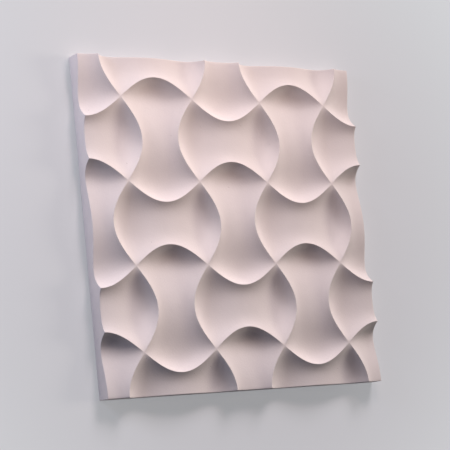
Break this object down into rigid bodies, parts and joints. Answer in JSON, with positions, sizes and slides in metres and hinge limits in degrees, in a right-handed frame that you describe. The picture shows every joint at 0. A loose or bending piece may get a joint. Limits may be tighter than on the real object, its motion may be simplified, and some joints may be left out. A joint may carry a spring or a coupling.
{
  "type": "3d wall panel tile",
  "caption": "Square cast plaster wall panel whose face is a relief of interlocking bone-shaped hollows between sharp curved ridges.",
  "frame": {"origin": "middle of the flat back face", "axes": "+X along one side of the panel, +Y along the other, up when the panel hangs as in the picture, +Z out of the relief, away from the wall"},
  "size_m": [0.5, 0.5, 0.0315],
  "materials": {
    "plaster": "matte"
  },
  "bodies": {
    "root": {"wall_panel": "plaster"}
  },
  "joints": []
}
